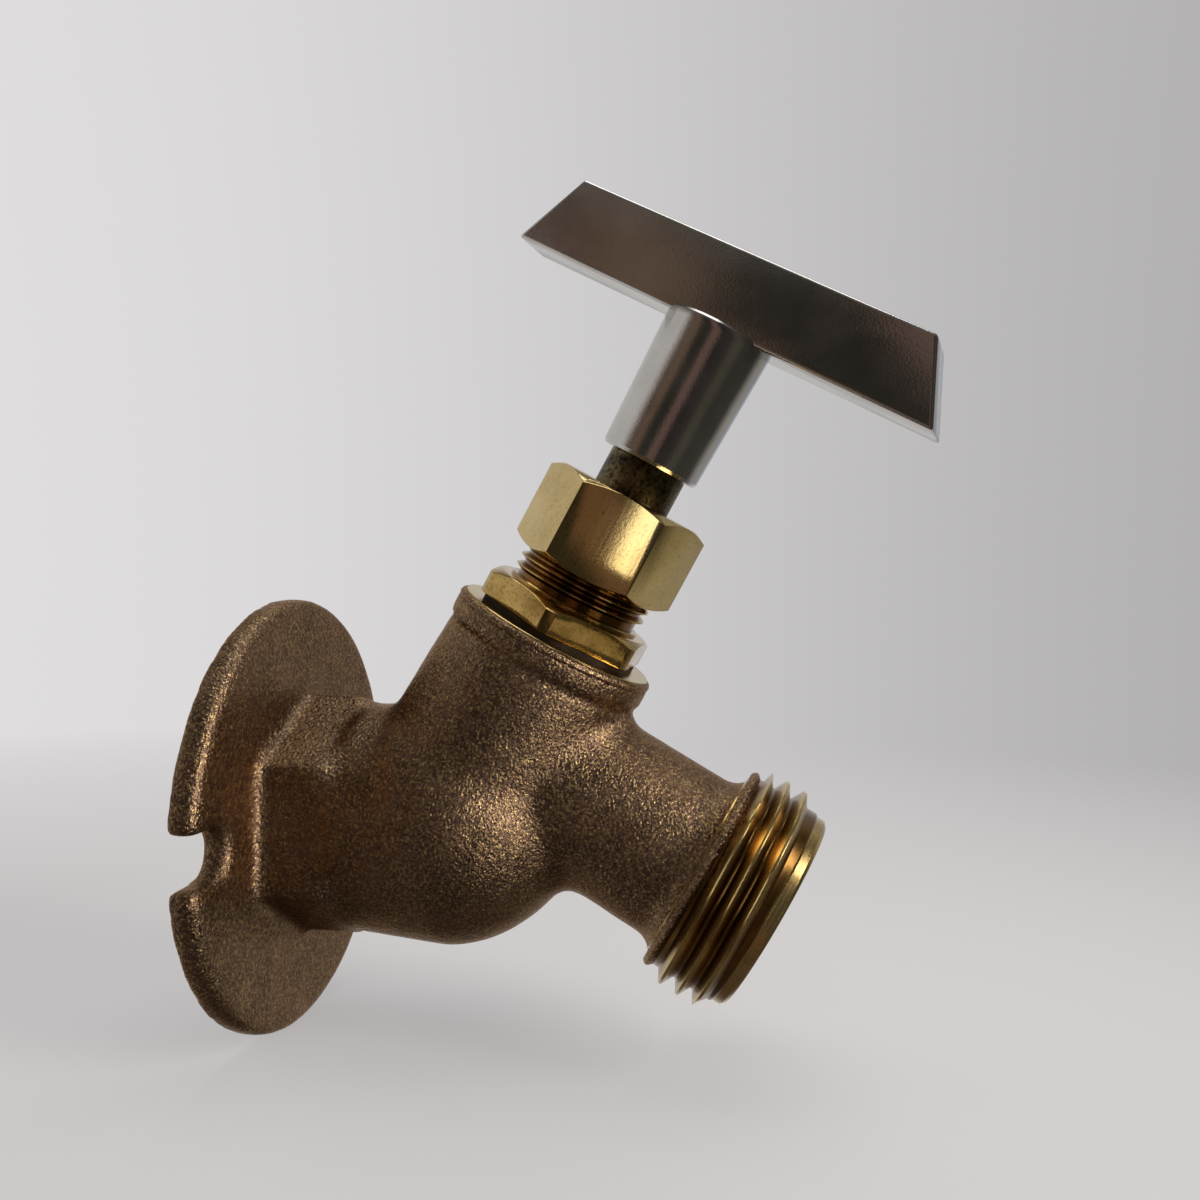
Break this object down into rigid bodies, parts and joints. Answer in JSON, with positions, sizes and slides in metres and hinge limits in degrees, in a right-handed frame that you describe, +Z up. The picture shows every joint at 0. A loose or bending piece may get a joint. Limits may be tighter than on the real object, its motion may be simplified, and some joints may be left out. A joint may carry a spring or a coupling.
{
  "type": "sillcock",
  "caption": "Wall-mounted garden tap with a slotted flange, female pipe inlet, angled screwed bonnet, rising stem, lift-off tee key and a male hose-thread outlet.",
  "frame": {"origin": "centre of the wall flange's back face, on the pipe inlet's axis", "axes": "+X out of the wall along the inlet axis, +Z up, the stem and outlet axes lie in the XZ plane"},
  "size_m": [0.078, 0.052, 0.1021],
  "materials": {
    "cast_bronze": "sand-cast, dark brown skin with golden grain",
    "machined_brass": "machined, bright with tool marks",
    "stem_brass": "dull and tarnished",
    "chrome_plate": "bright chrome plate over a pitted casting",
    "seat_rubber": "matt",
    "packing_cord": "graphited",
    "fibre_sheet": "matt, oiled brown fibre"
  },
  "bodies": {
    "tap": {"valve_body": "cast_bronze", "bonnet_gasket": "fibre_sheet", "bonnet": "machined_brass", "packing_nut": "machined_brass", "packing_washer": "machined_brass", "lower_packing_ring": "packing_cord", "upper_packing_ring": "packing_cord", "packing_gland": "machined_brass"},
    "disc_carriage": {"disc_holder": "machined_brass", "seat_disc": "seat_rubber", "disc_screw": "machined_brass"},
    "spindle": {"stem": "stem_brass"},
    "key": {"tee_handle": "chrome_plate"}
  },
  "joints": [
    {"name": "stem_travel", "type": "slide", "parent": "tap", "child": "disc_carriage", "axis": [0.4695, 0, 0.8829], "range_m": [0, 0.00635]},
    {"name": "stem_spin", "type": "hinge", "parent": "disc_carriage", "child": "spindle", "pos_m": [0.02294, 0, 0], "axis": [0.4695, 0, 0.8829], "range_deg": [0, 900]},
    {"name": "key_lift", "type": "slide", "parent": "spindle", "child": "key", "axis": [0.4695, 0, 0.8829], "range_m": [0, 0.014]}
  ],
  "couplings": [
    {"joint": "stem_travel", "follows": "stem_spin", "m_per_rad": 0.00040425}
  ]
}
